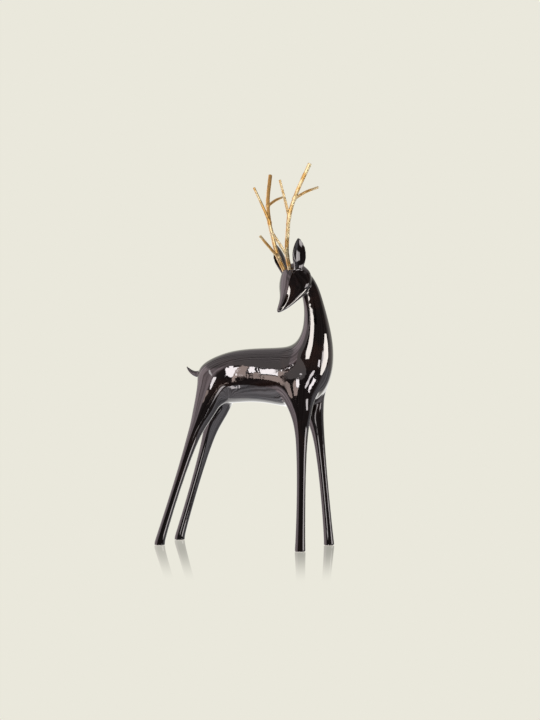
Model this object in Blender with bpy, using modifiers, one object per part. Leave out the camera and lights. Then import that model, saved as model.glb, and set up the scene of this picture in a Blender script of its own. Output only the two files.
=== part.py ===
"""A slender glazed ceramic deer that stands on four thin legs and looks back over its right shoulder.

The deer is one casting, modelled as one solid with its ears and tail. Two cast metal antlers stand
in sockets in its crown. Metres, +Z up, the chest towards +X, the hooves' soles at Z = 0.
"""

import math
from collections import namedtuple

import bmesh
import bpy
from mathutils import Matrix, Vector

# Driving sizes, in metres
FIGURE_HEIGHT = 0.388
BEAM_DIAMETER = 0.0044
TINE_DIAMETER = 0.0030
SOCKET_DEPTH = 0.0060
SOCKET_CLEARANCE = 0.0003
MERGE_DISTANCE = 0.000001

# The free form is laid out in parts of the figure's height, as in a sculptor's canon
HEIGHT_IN_PARTS = 388.1
PART = FIGURE_HEIGHT / HEIGHT_IN_PARTS
# The middle of the finished figure's bounding box, which becomes the origin
BOX_CENTRE = (5.783, -2.219, 0)

# Smoothness of the cages, the rods and the sockets
CAGE_LEVELS = 1
TRUNK_SIDES = 16
LEG_SIDES = 10
HEAD_SIDES = 16
EAR_SIDES = 10
TAIL_SIDES = 8
ROD_BEVEL_RESOLUTION = 2
ROD_STEPS = 3
SOCKET_SIDES = 24

# Trunk rings from rump to neck, in parts. A ring runs from a dorsal to a ventral point (x, z) in the
# middle plane. Its sway is how far it leans out of that plane.
TrunkRing = namedtuple("TrunkRing", "dorsal ventral half_width sway")
TRUNK = (
    TrunkRing((-46.5, 180.5), (-46, 161), 8, 0),
    TrunkRing((-42.5, 187), (-42, 152), 17, 0),
    TrunkRing((-31, 193.8), (-30, 146), 22, 0),
    TrunkRing((-12, 200.3), (-12, 146), 23.5, 0),
    TrunkRing((8, 202.7), (9, 148.5), 23, 0),
    TrunkRing((28, 203.3), (31, 147), 23.5, 0),
    TrunkRing((46, 203.8), (53, 142.5), 24.5, 0),
    TrunkRing((55, 205.5), (75, 143), 25, 0),
    TrunkRing((61.8, 209.5), (92, 159), 25, 0),
    TrunkRing((66, 215), (99.4, 182), 22, 0),
    TrunkRing((69, 223), (99.4, 207), 17.5, 0),
    TrunkRing((70, 233), (94.8, 230), 13, 0),
    TrunkRing((69.8, 247), (89, 250), 10.3, 0),
    TrunkRing((66.5, 262), (84, 267), 9.4, -1),
    TrunkRing((61, 272), (75.5, 281), 8, -5),
)
RUMP_BULGE = 1.5

# A leg grows from this opening: two ring intervals long, and these points of the ring wide
HIND_RING = 1
FRONT_RING = 6
LEG_OUTER_POINT = 4
LEG_INNER_POINT = 7

# Leg sections from hip to ankle, in parts: height, centre x, distance from the middle plane,
# half length and half width
LegSection = namedtuple("LegSection", "height x side half_length half_width")
HIND_LEG = (
    LegSection(138, -34, 17, 13.0, 8.4),
    LegSection(127, -38.6, 18.2, 9.8, 8.2),
    LegSection(114, -44.4, 20, 7.2, 6.8),
    LegSection(96, -50.6, 21.6, 5.7, 5.6),
    LegSection(70, -59.2, 23.4, 4.7, 4.7),
    LegSection(36, -70.3, 25.4, 4.6, 4.6),
    LegSection(10, -78.6, 26.6, 5.1, 5.1),
    LegSection(3, -80.6, 26.9, 5.5, 5.5),
)
FRONT_LEG = (
    LegSection(138, 72, 16.7, 11.5, 8.0),
    LegSection(127, 73.6, 17.4, 8.2, 7.5),
    LegSection(114, 75, 19.2, 6.2, 6.2),
    LegSection(96, 76, 21.5, 5.1, 5.2),
    LegSection(70, 77.2, 24.3, 4.4, 4.4),
    LegSection(36, 78.5, 28.2, 4.5, 4.5),
    LegSection(10, 79.3, 31.2, 5.0, 5.0),
    LegSection(3, 79.5, 32, 5.4, 5.4),
)
SOLE_EDGE = 1.0
SOLE_INSET = 0.8

# A leg: its sections, its first trunk ring, its side of the middle plane, how far its hoof stands
# forward and outward of the section table's place, and how soon below the hip that shows (0 to 1)
Leg = namedtuple("Leg", "sections first_ring side forward outward onset")
LEGS = (
    Leg(HIND_LEG, HIND_RING, 1, -1.5, -1.5, 1.0),
    Leg(HIND_LEG, HIND_RING, -1, 1.0, 1.5, 1.0),
    Leg(FRONT_LEG, FRONT_RING, 1, 3.5, 3.5, 0.4),
    Leg(FRONT_LEG, FRONT_RING, -1, -3.5, -2.5, 0.4),
)

# The head turns about the top of the neck. Its own axes are forward, left and up.
HEAD_PIVOT = (71, 0, 272)
HEAD_TURN = math.radians(-120)
HEAD_TILT = math.radians(5.6)

# The line from the crown to the muzzle
SKULL_START = (9.5, 0, 5.5)
SKULL_PITCH = math.radians(53.8)
# The skull turns a little more than the ears and the antlers, about this distance forward, and is
# as much shorter and wider as its outline asks
SKULL_MIDDLE = 17
SKULL_TURN = math.radians(-9)
SKULL_STRETCH = (0.9, 1.1, 1)
# Head sections from crown to muzzle. The brow is the ridge between the face and the cheek, and the
# bevel is the next edge down the cheek, both as shares of the half width and of the face's depth.
# The crispness is how sharp the brow is.
HeadSection = namedtuple("HeadSection", "along face_depth jaw_depth half_width brow bevel crispness")
HEAD = (
    HeadSection(-8.5, 7.5, 7.5, 6.0, (0.84, 0.60), (0.95, 0.30), 0.0),
    HeadSection(-6.5, 11.2, 11.6, 8.2, (0.86, 0.60), (0.95, 0.30), 0.0),
    HeadSection(-1, 15.7, 15.8, 10.3, (0.88, 0.60), (0.97, 0.30), 0.2),
    HeadSection(6, 17.4, 17.6, 11.7, (0.90, 0.62), (0.97, 0.30), 0.5),
    HeadSection(13, 15.8, 16.6, 11.4, (0.90, 0.72), (0.97, 0.34), 0.6),
    HeadSection(21, 11.6, 13.9, 9.8, (0.91, 0.76), (0.98, 0.38), 0.6),
    HeadSection(29, 7.1, 11.1, 7.9, (0.80, 0.60), (0.97, 0.30), 0.5),
    HeadSection(37, 4.4, 7.6, 6.4, (0.60, 0.64), (1.0, 0.04), 0.4),
    HeadSection(43, 3.5, 4.2, 5.0, (0.62, 0.64), (1.0, 0.04), 0.3),
    HeadSection(47.5, 2.4, 0.9, 2.6, (0.70, 0.70), (1.0, 0.10), 0.0),
)
CROWN_BULGE = 1.5
MUZZLE_BULGE = 0.5
# The rest of a half section, from the middle of the face to the middle of the jaw. The cheek is
# nearly flat from the bevel to the jaw's edge.
FACE_BEND = 0.5
CHEEK = ((1.0, -0.06), (1.03, -0.38), (0.99, -0.72))
JAW_BEND = (0.52, -0.95)

# Ear sections from the root in the skull to the tip, in the head's axes and in parts
EarSection = namedtuple("EarSection", "forward outward up half_width half_thickness")
EAR = (
    EarSection(17.8, 7.0, 2.5, 4.2, 2.6),
    EarSection(18.4, 12.0, 10.5, 5.3, 2.7),
    EarSection(19.2, 15.3, 17.7, 7.6, 2.3),
    EarSection(19.8, 16.8, 23.6, 8.4, 1.8),
    EarSection(20.8, 18.1, 30.2, 6.9, 1.5),
    EarSection(21.6, 19.0, 35.7, 3.8, 1.3),
    EarSection(22.3, 19.6, 39.2, 0.8, 0.7),
)
# The broad face of an ear turns this far from the front, and its sides curl out by a share of
# its half width
EAR_FACING = math.radians(84)
EAR_CUP = 0.42
# The power that squares an ear's rims: 1 is an ellipse, and less is squarer
EAR_RIM = 0.7

# The tail in the middle plane: x, z and radius, in parts
TAIL = (
    (-38, 178, 4.6),
    (-45, 176.5, 4.6),
    (-50, 176.0, 3.4),
    (-54.5, 177.2, 2.6),
    (-58.6, 180.0, 1.8),
    (-61.4, 183.2, 0.9),
    (-62.2, 184.6, 0.4),
)

# Antlers in the head's axes, in parts: forward, outward from the middle of the head, up, and the
# share of the rod's full diameter
ANTLER_MOUTH = (25, 5.1, 13)
BEAM = (
    (3.6, 2.4, 11.5, 1.0),
    (5.0, 7.4, 33.4, 0.95),
    (4.8, 11.2, 48.6, 0.95),
    (0.2, 17.6, 68.5, 0.92),
    (-12.8, 27.1, 99.7, 0.92),
)
FRONT_TINE = ((4.8, 10.8, 47, 1.05), (9.6, 12.7, 61, 0.95), (18.1, 16.1, 83.1, 0.82))
BACK_TINE = ((1.4, 16.5, 65.0, 1.0), (-11.3, 20.0, 72.2, 1.0), (-24.7, 23.7, 77.2, 0.85))
LOW_TINE = ((3.0, 1.7, 9.5, 1.0), (11.5, 3.2, 19.0, 1.0), (22.8, 5.0, 31.7, 0.95))

# Surface colours
GLAZE_COLOUR = (0.030, 0.026, 0.028, 1)
GLAZE_ROUGHNESS = 0.06
GLAZE_METALLIC = 0.6
GOLD_COLOUR = (0.72, 0.47, 0.18, 1)
GOLD_ROUGHNESS = 0.28


def clear_scene():
    for obj in list(bpy.data.objects):
        bpy.data.objects.remove(obj)


def new_collection(name):
    collection = bpy.data.collections.new(name)
    bpy.context.scene.collection.children.link(collection)
    return collection


def new_material(name, colour, roughness, metallic):
    material = bpy.data.materials.new(name)
    material.use_nodes = True
    shader = material.node_tree.nodes["Principled BSDF"]
    shader.inputs["Base Color"].default_value = colour
    shader.inputs["Roughness"].default_value = roughness
    shader.inputs["Metallic"].default_value = metallic
    return material


def limit_scale(sides):
    """How much a control ring grows so that its subdivision surface has the stated size."""
    return 3 / (2 + math.cos(2 * math.pi / sides))


def add_ring(bm, points):
    return [bm.verts.new(point * PART) for point in points]


def join_rings(bm, first, second):
    for k in range(len(first)):
        n = (k + 1) % len(first)
        bm.faces.new((first[k], first[n], second[n], second[k]))


def grid_cap(bm, ring, bulge):
    """Closes a ring of 8, 16 or 24 points with a net of quads that stands out by bulge."""
    side = len(ring) // 4
    turn = side // 2
    loop = [ring[(k + turn) % len(ring)] for k in range(len(ring))]
    net = [[None] * (side + 1) for _ in range(side + 1)]
    for k in range(side + 1):
        net[0][k] = loop[k]
        net[k][side] = loop[side + k]
        net[side][side - k] = loop[2 * side + k]
        net[side - k][0] = loop[(3 * side + k) % len(ring)]
    for a in range(1, side):
        for b in range(1, side):
            s, t = a / side, b / side
            across = net[a][0].co.lerp(net[a][side].co, t) + net[0][b].co.lerp(net[side][b].co, s)
            corners = net[0][0].co.lerp(net[0][side].co, t).lerp(net[side][0].co.lerp(net[side][side].co, t), s)
            net[a][b] = bm.verts.new(across - corners + bulge * (4 * s * (1 - s) * 4 * t * (1 - t)))
    for a in range(side):
        for b in range(side):
            bm.faces.new((net[a][b], net[a][b + 1], net[a + 1][b + 1], net[a + 1][b]))


def finish_form(bm, name, collection, material, frame):
    """Makes the cage one of the figure's forms: a smooth-shaded subdivision surface."""
    bmesh.ops.recalc_face_normals(bm, faces=bm.faces)
    mesh = bpy.data.meshes.new(name)
    bm.to_mesh(mesh)
    bm.free()
    mesh.shade_smooth()
    mesh.materials.append(material)
    obj = bpy.data.objects.new(name, mesh)
    collection.objects.link(obj)
    subdivision = obj.modifiers.new("Subdivision", "SUBSURF")
    subdivision.levels = CAGE_LEVELS
    subdivision.render_levels = CAGE_LEVELS
    obj.parent = frame
    return obj


def trunk_ring_points(ring):
    """The ring's points, from the dorsal one round by the left side."""
    dorsal = Vector((ring.dorsal[0], ring.sway, ring.dorsal[1]))
    ventral = Vector((ring.ventral[0], ring.sway, ring.ventral[1]))
    centre = (dorsal + ventral) / 2
    grow = limit_scale(TRUNK_SIDES)
    upward = (dorsal - ventral) / 2 * grow
    leftward = Vector((0, ring.half_width * grow, 0))
    angles = [2 * math.pi * k / TRUNK_SIDES for k in range(TRUNK_SIDES)]
    return [centre + upward * math.cos(angle) + leftward * math.sin(angle) for angle in angles]


def leg_opening(leg):
    """The trunk faces that a leg grows from, and the ring points round them, from the outer middle
    one by the rear, as (ring, point) pairs."""
    first, middle, last = leg.first_ring, leg.first_ring + 1, leg.first_ring + 2
    points = range(LEG_OUTER_POINT, LEG_INNER_POINT + 1)
    faces = [(ring, point) for ring in (first, middle) for point in points[:-1]]
    loop = [(middle, points[0])]
    loop += [(first, point) for point in points]
    loop += [(middle, points[-1])]
    loop += [(last, point) for point in reversed(points)]
    if leg.side < 0:
        faces = [(ring, TRUNK_SIDES - 1 - point) for ring, point in faces]
        loop = [(ring, TRUNK_SIDES - point) for ring, point in loop]
    return faces, loop


def leg_ring_points(leg, section):
    """A level ring of the leg, from its outer point round by the rear."""
    hip_height = leg.sections[0].height
    drop = (1 - section.height / hip_height) ** leg.onset
    x = section.x + leg.forward * drop
    y = leg.side * (section.side + leg.outward * drop)
    grow = limit_scale(LEG_SIDES)
    points = []
    for k in range(LEG_SIDES):
        angle = 2 * math.pi * k / LEG_SIDES
        rear = math.sin(angle) * section.half_length * grow
        out = math.cos(angle) * section.half_width * grow
        points.append(Vector((x - rear, y + leg.side * out, section.height)))
    return points


def grow_leg(bm, trunk_rings, leg):
    _, loop = leg_opening(leg)
    ring = [trunk_rings[i][k] for i, k in loop]
    for section in leg.sections:
        lower = add_ring(bm, leg_ring_points(leg, section))
        join_rings(bm, ring, lower)
        ring = lower
    # The sole: an edge loop, an inset loop and a face, all at Z = 0
    ankle = leg.sections[-1]
    for height, share in ((SOLE_EDGE, 1), (0, 1), (0, SOLE_INSET)):
        section = ankle._replace(
            height=height, half_length=ankle.half_length * share, half_width=ankle.half_width * share
        )
        lower = add_ring(bm, leg_ring_points(leg, section))
        join_rings(bm, ring, lower)
        ring = lower
    bm.faces.new(ring)


def make_body(collection, material, frame):
    bm = bmesh.new()
    rings = [add_ring(bm, trunk_ring_points(ring)) for ring in TRUNK]
    open_faces = {face for leg in LEGS for face in leg_opening(leg)[0]}
    for i in range(len(rings) - 1):
        for k in range(TRUNK_SIDES):
            n = (k + 1) % TRUNK_SIDES
            if (i, k) not in open_faces:
                bm.faces.new((rings[i][k], rings[i][n], rings[i + 1][n], rings[i + 1][k]))
    grid_cap(bm, rings[0], Vector((-RUMP_BULGE * PART, 0, 0)))
    grid_cap(bm, rings[-1], Vector((0, 0, 0)))
    for leg in LEGS:
        grow_leg(bm, rings, leg)
    return finish_form(bm, "deer", collection, material, frame)


def make_figure_frame(collection):
    frame = bpy.data.objects.new("figure_frame", None)
    collection.objects.link(frame)
    frame.location = -Vector(BOX_CENTRE) * PART
    return frame


def make_head_frame(collection, figure_frame):
    frame = bpy.data.objects.new("head_frame", None)
    collection.objects.link(frame)
    frame.parent = figure_frame
    frame.location = Vector(HEAD_PIVOT) * PART
    frame.rotation_euler = (HEAD_TILT, 0, HEAD_TURN)
    return frame


def squared(value, power):
    return math.copysign(abs(value) ** power, value)


def make_head(collection, material, frame):
    along = Vector((math.cos(SKULL_PITCH), 0, -math.sin(SKULL_PITCH)))
    faceward = Vector((math.sin(SKULL_PITCH), 0, math.cos(SKULL_PITCH)))
    leftward = Vector((0, 1, 0))
    grow = limit_scale(HEAD_SIDES)
    bm = bmesh.new()
    rings = []
    for section in HEAD:
        centre = Vector(SKULL_START) + along * section.along
        face_bend = (section.brow[0] * FACE_BEND, 1 - (1 - section.brow[1]) * FACE_BEND ** 2)
        half = [(0, 1), face_bend, section.brow, section.bevel, *CHEEK, JAW_BEND, (0, -1)]
        profile = half + [(-wide, deep) for wide, deep in reversed(half[1:-1])]
        points = []
        for wide, deep in profile:
            depth = section.face_depth if deep > 0 else section.jaw_depth
            points.append(centre + (faceward * deep * depth + leftward * wide * section.half_width) * grow)
        rings.append(add_ring(bm, points))
    for first, second in zip(rings, rings[1:]):
        join_rings(bm, first, second)
    crease = bm.edges.layers.float.new("crease_edge")
    for brow in (2, HEAD_SIDES - 2):
        for first, second, section in zip(rings, rings[1:], HEAD):
            bm.edges.get((first[brow], second[brow]))[crease] = section.crispness
    grid_cap(bm, rings[0], along * -CROWN_BULGE * PART)
    grid_cap(bm, rings[-1], along * MUZZLE_BULGE * PART)
    middle = Matrix.Translation((SKULL_MIDDLE * PART, 0, 0))
    turned = Matrix.Rotation(SKULL_TURN, 4, "Z") @ Matrix.Diagonal((*SKULL_STRETCH, 1))
    bmesh.ops.transform(bm, matrix=middle @ turned @ middle.inverted(), verts=bm.verts)
    return finish_form(bm, "head_form", collection, material, frame)


def tangents(centres):
    """The direction of the path at each of its points."""
    last = len(centres) - 1
    return [(centres[min(i + 1, last)] - centres[max(i - 1, 0)]).normalized() for i in range(last + 1)]


def make_ear(collection, material, frame, side):
    """A cupped leaf: its sections bow back between two rims."""
    facing = Vector((-math.sin(EAR_FACING), math.cos(EAR_FACING), 0))
    centres = [Vector((section.forward, section.outward, section.up)) for section in EAR]
    grow = limit_scale(EAR_SIDES)
    bm = bmesh.new()
    rings = []
    for section, centre, tangent in zip(EAR, centres, tangents(centres)):
        wide = (facing - tangent * facing.dot(tangent)).normalized()
        outward = wide.cross(tangent)
        cup = EAR_CUP * section.half_width
        points = []
        for k in range(EAR_SIDES):
            angle = 2 * math.pi * k / EAR_SIDES
            across = section.half_width * math.cos(angle)
            out = section.half_thickness * squared(math.sin(angle), EAR_RIM) - cup * math.sin(angle) ** 2
            point = centre + (wide * across + outward * out) * grow
            points.append(Vector((point.x, point.y * side, point.z)))
        rings.append(add_ring(bm, points))
    for first, second in zip(rings, rings[1:]):
        join_rings(bm, first, second)
    bm.faces.new(rings[0])
    bm.faces.new(rings[-1])
    return finish_form(bm, "ear_form", collection, material, frame)


def make_tail(collection, material, frame):
    bm = bmesh.new()
    grow = limit_scale(TAIL_SIDES)
    centres = [Vector((x, 0, z)) for x, z, _ in TAIL]
    across = Vector((0, 1, 0))
    rings = []
    for centre, tangent, (_, _, radius) in zip(centres, tangents(centres), TAIL):
        up = tangent.cross(across)
        angles = [2 * math.pi * k / TAIL_SIDES for k in range(TAIL_SIDES)]
        spokes = [up * math.cos(angle) + across * math.sin(angle) for angle in angles]
        rings.append(add_ring(bm, [centre + spoke * radius * grow for spoke in spokes]))
    for first, second in zip(rings, rings[1:]):
        join_rings(bm, first, second)
    grid_cap(bm, rings[0], Vector((0, 0, 0)))
    grid_cap(bm, rings[-1], Vector((0, 0, 0)))
    return finish_form(bm, "tail_form", collection, material, frame)


def make_rod(name, points, diameter, collection, material, frame):
    """A round rod through the points, each with its share of the diameter, as a mesh."""
    curve = bpy.data.curves.new(name, "CURVE")
    curve.dimensions = "3D"
    curve.bevel_depth = diameter / 2
    curve.bevel_resolution = ROD_BEVEL_RESOLUTION
    curve.resolution_u = ROD_STEPS
    curve.use_fill_caps = True
    spline = curve.splines.new("BEZIER")
    spline.bezier_points.add(len(points) - 1)
    for knot, (place, share) in zip(spline.bezier_points, points):
        knot.co = place
        knot.radius = share
        knot.handle_left_type = knot.handle_right_type = "AUTO"
    source = bpy.data.objects.new(name, curve)
    collection.objects.link(source)
    bpy.context.view_layer.update()
    graph = bpy.context.evaluated_depsgraph_get()
    mesh = bpy.data.meshes.new_from_object(source.evaluated_get(graph))
    bpy.data.objects.remove(source)
    bm = bmesh.new()
    bm.from_mesh(mesh)
    bmesh.ops.remove_doubles(bm, verts=bm.verts, dist=MERGE_DISTANCE)
    bmesh.ops.recalc_face_normals(bm, faces=bm.faces)
    bm.to_mesh(mesh)
    bm.free()
    mesh.materials.clear()
    mesh.materials.append(material)
    obj = bpy.data.objects.new(name, mesh)
    collection.objects.link(obj)
    obj.parent = frame
    return obj


def antler_axis(side):
    """The direction in which a beam leaves its socket."""
    forward, outward, up, _ = BEAM[0]
    return Vector((forward, outward * side, up)).normalized()


def antler_place(row, side):
    forward, outward, up, _ = row
    mouth_forward, mouth_outward, mouth_up = ANTLER_MOUTH
    return Vector((mouth_forward + forward, (mouth_outward + outward) * side, mouth_up + up)) * PART


def antler_points(rows, side):
    return [(antler_place(row, side), row[3]) for row in rows]


def join_to(obj, other, operation="UNION"):
    other.hide_render = True
    other.display_type = "WIRE"
    join = obj.modifiers.new(f"{operation.title()} {other.name}", "BOOLEAN")
    join.operation = operation
    join.solver = "EXACT"
    join.object = other


def make_antler(name, side, parts, helpers, material, frame):
    mouth = antler_place((0, 0, 0, 1), side)
    axis = antler_axis(side)
    foot = mouth - axis * (SOCKET_DEPTH - SOCKET_CLEARANCE)
    beam_points = [(foot, 1.0), (mouth, 1.0)] + antler_points(BEAM, side)
    beam = make_rod(name, beam_points, BEAM_DIAMETER, parts, material, frame)
    for rows in (FRONT_TINE, BACK_TINE, LOW_TINE):
        tine = make_rod(name + "_tine", antler_points(rows, side), TINE_DIAMETER, helpers, material, frame)
        join_to(beam, tine)
    return beam


def make_socket(side, collection, frame):
    radius = BEAM_DIAMETER / 2 + SOCKET_CLEARANCE
    bpy.ops.mesh.primitive_cylinder_add(vertices=SOCKET_SIDES, radius=radius, depth=2 * SOCKET_DEPTH)
    cutter = bpy.context.object
    cutter.name = "antler_socket_cutter"
    for owner in list(cutter.users_collection):
        owner.objects.unlink(cutter)
    collection.objects.link(cutter)
    cutter.parent = frame
    cutter.location = antler_place((0, 0, 0, 1), side)
    cutter.rotation_mode = "QUATERNION"
    cutter.rotation_quaternion = antler_axis(side).to_track_quat("Z", "Y")
    return cutter


def main():
    clear_scene()
    parts = new_collection("deer_figurine")
    helpers = new_collection("joined_forms_and_cutters")
    glaze = new_material("black_glaze", GLAZE_COLOUR, GLAZE_ROUGHNESS, GLAZE_METALLIC)
    gold = new_material("antler_gold", GOLD_COLOUR, GOLD_ROUGHNESS, 1.0)
    figure_frame = make_figure_frame(parts)
    head_frame = make_head_frame(parts, figure_frame)
    deer = make_body(parts, glaze, figure_frame)
    join_to(deer, make_head(helpers, glaze, head_frame))
    for side in (1, -1):
        join_to(deer, make_ear(helpers, glaze, head_frame, side))
    join_to(deer, make_tail(helpers, glaze, figure_frame))
    for side in (1, -1):
        join_to(deer, make_socket(side, helpers, head_frame), "DIFFERENCE")
    make_antler("antler_left", 1, parts, helpers, gold, head_frame)
    make_antler("antler_right", -1, parts, helpers, gold, head_frame)


main()
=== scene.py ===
"""The looks of the ceramic deer: one glazed casting and two cast metal antlers, in a pale studio.

The casting's forms are the part's own cages at a fine subdivision, fused into one skin whose
creases at the neck, the ears and the tail are filled by the glaze. Sizes are in parts of the
figure's height, which comes from the frame. +X is the way the chest faces and +Z is up.
"""

import math
from collections import namedtuple

import bmesh
import bpy
from mathutils import Euler, Matrix, Vector, noise
from mathutils.bvhtree import BVHTree
from mathutils.interpolate import poly_3d_calc


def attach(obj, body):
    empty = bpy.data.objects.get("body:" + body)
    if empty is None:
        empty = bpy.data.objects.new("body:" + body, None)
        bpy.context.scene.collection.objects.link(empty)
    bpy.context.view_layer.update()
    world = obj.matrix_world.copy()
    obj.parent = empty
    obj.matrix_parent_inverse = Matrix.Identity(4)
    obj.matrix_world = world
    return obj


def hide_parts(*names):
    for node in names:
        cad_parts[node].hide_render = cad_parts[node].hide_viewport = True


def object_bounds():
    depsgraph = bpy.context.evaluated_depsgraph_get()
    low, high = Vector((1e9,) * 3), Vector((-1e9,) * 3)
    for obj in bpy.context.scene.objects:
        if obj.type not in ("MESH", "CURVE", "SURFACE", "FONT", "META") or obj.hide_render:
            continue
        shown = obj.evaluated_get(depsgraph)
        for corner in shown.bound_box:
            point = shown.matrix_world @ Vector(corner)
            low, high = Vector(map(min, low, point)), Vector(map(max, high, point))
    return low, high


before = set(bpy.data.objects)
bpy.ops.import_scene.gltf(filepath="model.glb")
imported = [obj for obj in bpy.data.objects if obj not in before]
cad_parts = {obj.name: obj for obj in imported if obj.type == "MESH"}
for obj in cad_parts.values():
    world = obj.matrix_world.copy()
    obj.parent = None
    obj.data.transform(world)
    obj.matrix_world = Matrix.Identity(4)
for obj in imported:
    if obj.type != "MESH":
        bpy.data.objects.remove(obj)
CAD_LOW, CAD_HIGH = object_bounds()

# The figure's height in the frame, and the free form's unit, one part of that height
FIGURE_HEIGHT = CAD_HIGH.z - CAD_LOW.z
# A hair more than the solids' own 388.1 parts, so that the smooth skin stays inside their box
HEIGHT_IN_PARTS = 388.3
PART = FIGURE_HEIGHT / HEIGHT_IN_PARTS
# The place of the frame's origin in the sculptor's layout, in parts
ORIGIN = (5.783, -2.219, 0)

# Casting: subdivision of its forms, and the grid that fuses them, which is halved at the head and
# once more at the ears
FORM_LEVELS = 4
SKIN_GRID = 1.25
FITTING_PASSES = 3
# How near a form has to be to be measured, and how near to have the finer grid, in parts
FORM_REACH = 8
FINE_REACH = 1
# The glaze fillets where the head, an ear and the tail meet what they grow from
HEAD_FILLET = 1.8
EAR_FILLET = 2.6
TAIL_FILLET = 3.2

TRUNK_SIDES = 16
LEG_SIDES = 10
HEAD_SIDES = 16
EAR_SIDES = 10
TAIL_SIDES = 8

# Trunk rings from rump to neck. A ring runs from a dorsal to a ventral point (x, z) in the middle
# plane. Its sway is how far it leans out of that plane.
TrunkRing = namedtuple("TrunkRing", "dorsal ventral half_width sway")
TRUNK = (
    TrunkRing((-46.5, 180.5), (-46, 161), 8, 0),
    TrunkRing((-42.5, 187), (-42, 152), 17, 0),
    TrunkRing((-31, 193.8), (-30, 146), 22, 0),
    TrunkRing((-12, 200.3), (-12, 146), 23.5, 0),
    TrunkRing((8, 202.7), (9, 148.5), 23, 0),
    TrunkRing((28, 203.3), (31, 147), 23.5, 0),
    TrunkRing((46, 203.8), (53, 142.5), 24.5, 0),
    TrunkRing((55, 205.5), (75, 143), 25, 0),
    TrunkRing((61.8, 209.5), (92, 159), 25, 0),
    TrunkRing((66, 215), (99.4, 182), 22, 0),
    TrunkRing((69, 223), (99.4, 207), 17.5, 0),
    TrunkRing((70, 233), (94.8, 230), 13, 0),
    TrunkRing((69.8, 247), (89, 250), 10.3, 0),
    TrunkRing((66.5, 262), (84, 267), 9.4, -1),
    TrunkRing((61, 272), (75.5, 281), 8, -5),
)
RUMP_BULGE = 1.5

# A leg grows from an opening two ring intervals long, between these points of the ring
HIND_RING = 1
FRONT_RING = 6
LEG_OUTER_POINT = 4
LEG_INNER_POINT = 7

LegSection = namedtuple("LegSection", "height x side half_length half_width")
HIND_LEG = (
    LegSection(138, -34, 17, 13.0, 8.4),
    LegSection(127, -38.6, 18.2, 9.8, 8.2),
    LegSection(114, -44.4, 20, 7.2, 6.8),
    LegSection(96, -50.6, 21.6, 5.7, 5.6),
    LegSection(70, -59.2, 23.4, 4.7, 4.7),
    LegSection(36, -70.3, 25.4, 4.6, 4.6),
    LegSection(10, -78.6, 26.6, 5.1, 5.1),
    LegSection(3, -80.6, 26.9, 5.5, 5.5),
)
FRONT_LEG = (
    LegSection(138, 72, 16.7, 11.5, 8.0),
    LegSection(127, 73.6, 17.4, 8.2, 7.5),
    LegSection(114, 75, 19.2, 6.2, 6.2),
    LegSection(96, 76, 21.5, 5.1, 5.2),
    LegSection(70, 77.2, 24.3, 4.4, 4.4),
    LegSection(36, 78.5, 28.2, 4.5, 4.5),
    LegSection(10, 79.3, 31.2, 5.0, 5.0),
    LegSection(3, 79.5, 32, 5.4, 5.4),
)
SOLE_EDGE = 1.0
SOLE_INSET = 0.8

# A leg: its sections, its first trunk ring, its side of the middle plane, how far its hoof stands
# forward and outward of the section table's place, and how soon below the hip that shows
Leg = namedtuple("Leg", "sections first_ring side forward outward onset")
LEGS = (
    Leg(HIND_LEG, HIND_RING, 1, -1.5, -1.5, 1.0),
    Leg(HIND_LEG, HIND_RING, -1, 1.0, 1.5, 1.0),
    Leg(FRONT_LEG, FRONT_RING, 1, 3.5, 3.5, 0.4),
    Leg(FRONT_LEG, FRONT_RING, -1, -3.5, -2.5, 0.4),
)

# The head turns about the top of the neck. Its own axes are forward, left and up.
HEAD_PIVOT = (71, 0, 272)
HEAD_TURN = math.radians(-120)
HEAD_TILT = math.radians(5.6)
SKULL_START = (9.5, 0, 5.5)
SKULL_PITCH = math.radians(53.8)
# The skull turns a little more than the ears and the antlers, about this distance forward, and is
# as much shorter and wider as its outline asks
SKULL_MIDDLE = 17
SKULL_TURN = math.radians(-9)
SKULL_STRETCH = (0.9, 1.1, 1)
# Head sections from crown to muzzle. The brow is the ridge between the face and the cheek, and the
# bevel is the next edge down the cheek, both as shares of the half width and of the face's depth.
# The crispness is how sharp the brow is.
HeadSection = namedtuple(
    "HeadSection", "along face_depth jaw_depth half_width brow bevel crispness"
)
HEAD = (
    HeadSection(-8.5, 7.5, 7.5, 6.0, (0.84, 0.60), (0.95, 0.30), 0.0),
    HeadSection(-6.5, 11.2, 11.6, 8.2, (0.86, 0.60), (0.95, 0.30), 0.0),
    HeadSection(-1, 15.7, 15.8, 10.3, (0.88, 0.60), (0.97, 0.30), 0.2),
    HeadSection(6, 17.4, 17.6, 11.7, (0.90, 0.62), (0.97, 0.30), 0.5),
    HeadSection(13, 15.8, 16.6, 11.4, (0.90, 0.72), (0.97, 0.34), 0.6),
    HeadSection(21, 11.6, 13.9, 9.8, (0.91, 0.76), (0.98, 0.38), 0.6),
    HeadSection(29, 7.1, 11.1, 7.9, (0.80, 0.60), (0.97, 0.30), 0.5),
    HeadSection(37, 4.4, 7.6, 6.4, (0.60, 0.64), (1.0, 0.04), 0.4),
    HeadSection(43, 3.5, 4.2, 5.0, (0.62, 0.64), (1.0, 0.04), 0.3),
    HeadSection(47.5, 2.4, 0.9, 2.6, (0.70, 0.70), (1.0, 0.10), 0.0),
)
CROWN_BULGE = 1.5
MUZZLE_BULGE = 0.5
# The rest of a half section, from the middle of the face to the middle of the jaw. The cheek is
# nearly flat from the bevel to the jaw's edge.
FACE_BEND = 0.5
CHEEK = ((1.0, -0.06), (1.03, -0.38), (0.99, -0.72))
JAW_BEND = (0.52, -0.95)

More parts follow.
